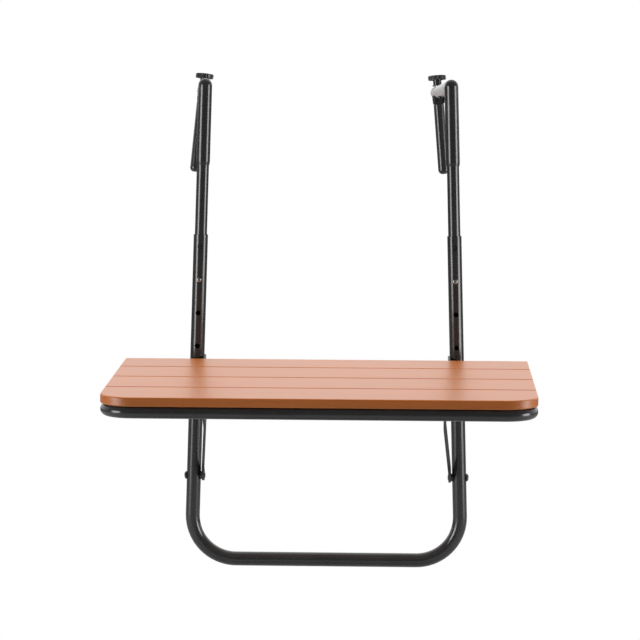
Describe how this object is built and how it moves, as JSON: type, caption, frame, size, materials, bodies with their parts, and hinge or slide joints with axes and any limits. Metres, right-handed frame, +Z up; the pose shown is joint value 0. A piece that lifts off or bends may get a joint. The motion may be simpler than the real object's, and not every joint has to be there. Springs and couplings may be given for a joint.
{
  "type": "balcony railing bar table",
  "caption": "Slatted tabletop hinged to a bent tube frame that hangs from a railing by two adjustable clamping hooks, with folding side struts.",
  "frame": {"origin": "midway between the two hooks, in the middle of the railing's thickness, where the undersides of the hook arms rest", "axes": "+Z up; +X to the right of a person at the table; the tabletop reaches out along -Y, the railing and hooks are on the +Y side"},
  "size_m": [0.6, 0.5309, 0.7434],
  "materials": {
    "black_steel": "satin powder coat",
    "wood": "oiled",
    "black_plastic": "matt",
    "grey_plastic": "matt",
    "zinc": "bright"
  },
  "bodies": {
    "frame": {"u_frame": "black_steel", "left_hinge_bracket": "black_steel", "left_strut_rivet": "black_steel", "left_spacer": "black_plastic", "right_hinge_bracket": "black_steel", "right_strut_rivet": "black_steel", "right_spacer": "black_plastic"},
    "table": {"slat_rear": "wood", "slat_mid_rear": "wood", "slat_mid_front": "wood", "slat_front": "wood", "rim_frame": "black_steel", "slat_screws": "zinc", "left_rail": "black_steel", "left_hinge_pin": "black_steel", "right_rail": "black_steel", "right_hinge_pin": "black_steel"},
    "left_strut": {"left_strut": "black_steel", "left_strut_pin": "black_steel"},
    "left_post": {"left_post": "black_steel"},
    "left_button": {"left_snap_clip": "zinc"},
    "left_hook": {"left_head": "black_steel", "left_head_sleeve": "black_plastic", "left_arm_sleeve": "grey_plastic"},
    "left_clamp": {"left_washer": "zinc"},
    "left_knob": {"left_knob": "black_plastic", "left_clamp_bolt": "zinc"},
    "left_jaw": {"left_saddle": "black_plastic", "left_rear_leg": "black_steel", "left_leg_nut": "black_steel", "left_rear_cap": "black_plastic"},
    "right_strut": {"right_strut": "black_steel", "right_strut_pin": "black_steel"},
    "right_post": {"right_post": "black_steel"},
    "right_button": {"right_snap_clip": "zinc"},
    "right_hook": {"right_head": "black_steel", "right_head_sleeve": "black_plastic", "right_arm_sleeve": "grey_plastic"},
    "right_clamp": {"right_washer": "zinc"},
    "right_knob": {"right_knob": "black_plastic", "right_clamp_bolt": "zinc"},
    "right_jaw": {"right_saddle": "black_plastic", "right_rear_leg": "black_steel", "right_leg_nut": "black_steel", "right_rear_cap": "black_plastic"}
  },
  "joints": [
    {"name": "table_fold", "type": "hinge", "parent": "frame", "child": "table", "pos_m": [0, -0.06535, -0.40186], "axis": [-1, 0, 0], "range_deg": [0, 90]},
    {"name": "left_strut_swing", "type": "hinge", "parent": "frame", "child": "left_strut", "pos_m": [0, -0.04035, -0.57386], "axis": [-1, 0, 0], "range_deg": [0, 29.31]},
    {"name": "left_height", "type": "slide", "parent": "frame", "child": "left_post", "axis": [0.0297, 0, 0.9996], "range_m": [-0.1, 0.05]},
    {"name": "left_button_press", "type": "slide", "parent": "left_post", "child": "left_button", "axis": [0, 1, 0], "range_m": [0, 0.004], "stiffness_N_per_m": 800, "springref_m": -0.003, "deforming": ["left_snap_clip"]},
    {"name": "left_hook_swivel", "type": "hinge", "parent": "left_post", "child": "left_hook", "pos_m": [-0.18316, -0.04035, 0.01496], "axis": [0.0297, 0, 0.9996], "range_deg": [-31, 19]},
    {"name": "left_clamp_slide", "type": "slide", "parent": "left_hook", "child": "left_clamp", "axis": [-0.1076, 0.9848, -0.136], "range_m": [-0.025, 0]},
    {"name": "left_knob_turn", "type": "hinge", "parent": "left_clamp", "child": "left_knob", "pos_m": [-0.19167, 0.03757, 0.0042], "axis": [0.0911, 0.146, 0.9851], "range_deg": [0, 1440]},
    {"name": "left_jaw_drop", "type": "slide", "parent": "left_clamp", "child": "left_jaw", "axis": [-0.0911, -0.146, -0.9851], "range_m": [0, 0.005]},
    {"name": "right_strut_swing", "type": "hinge", "parent": "frame", "child": "right_strut", "pos_m": [0, -0.04035, -0.57386], "axis": [-1, 0, 0], "range_deg": [0, 29.31]},
    {"name": "right_height", "type": "slide", "parent": "frame", "child": "right_post", "axis": [-0.0297, 0, 0.9996], "range_m": [-0.1, 0.05]},
    {"name": "right_button_press", "type": "slide", "parent": "right_post", "child": "right_button", "axis": [0, 1, 0], "range_m": [0, 0.004], "stiffness_N_per_m": 800, "springref_m": -0.003, "deforming": ["right_snap_clip"]},
    {"name": "right_hook_swivel", "type": "hinge", "parent": "right_post", "child": "right_hook", "pos_m": [0.18316, -0.04035, 0.01496], "axis": [-0.0297, 0, 0.9996], "range_deg": [-39.2, 10.8]},
    {"name": "right_clamp_slide", "type": "slide", "parent": "right_hook", "child": "right_clamp", "axis": [-0.2387, 0.96, -0.1463], "range_m": [-0.025, 0]},
    {"name": "right_knob_turn", "type": "hinge", "parent": "right_clamp", "child": "right_knob", "pos_m": [0.16427, 0.03561, 0.00338], "axis": [-0.0787, 0.1311, 0.9882], "range_deg": [0, 1440]},
    {"name": "right_jaw_drop", "type": "slide", "parent": "right_clamp", "child": "right_jaw", "axis": [0.0787, -0.1311, -0.9882], "range_m": [0, 0.005]}
  ],
  "couplings": [
    {"joint": "left_strut_swing", "follows": "table_fold", "ratio": 0.3246},
    {"joint": "left_knob_turn", "follows": "left_jaw_drop", "rad_per_m": 5026.5},
    {"joint": "right_strut_swing", "follows": "table_fold", "ratio": 0.3246},
    {"joint": "right_knob_turn", "follows": "right_jaw_drop", "rad_per_m": 5026.5}
  ]
}
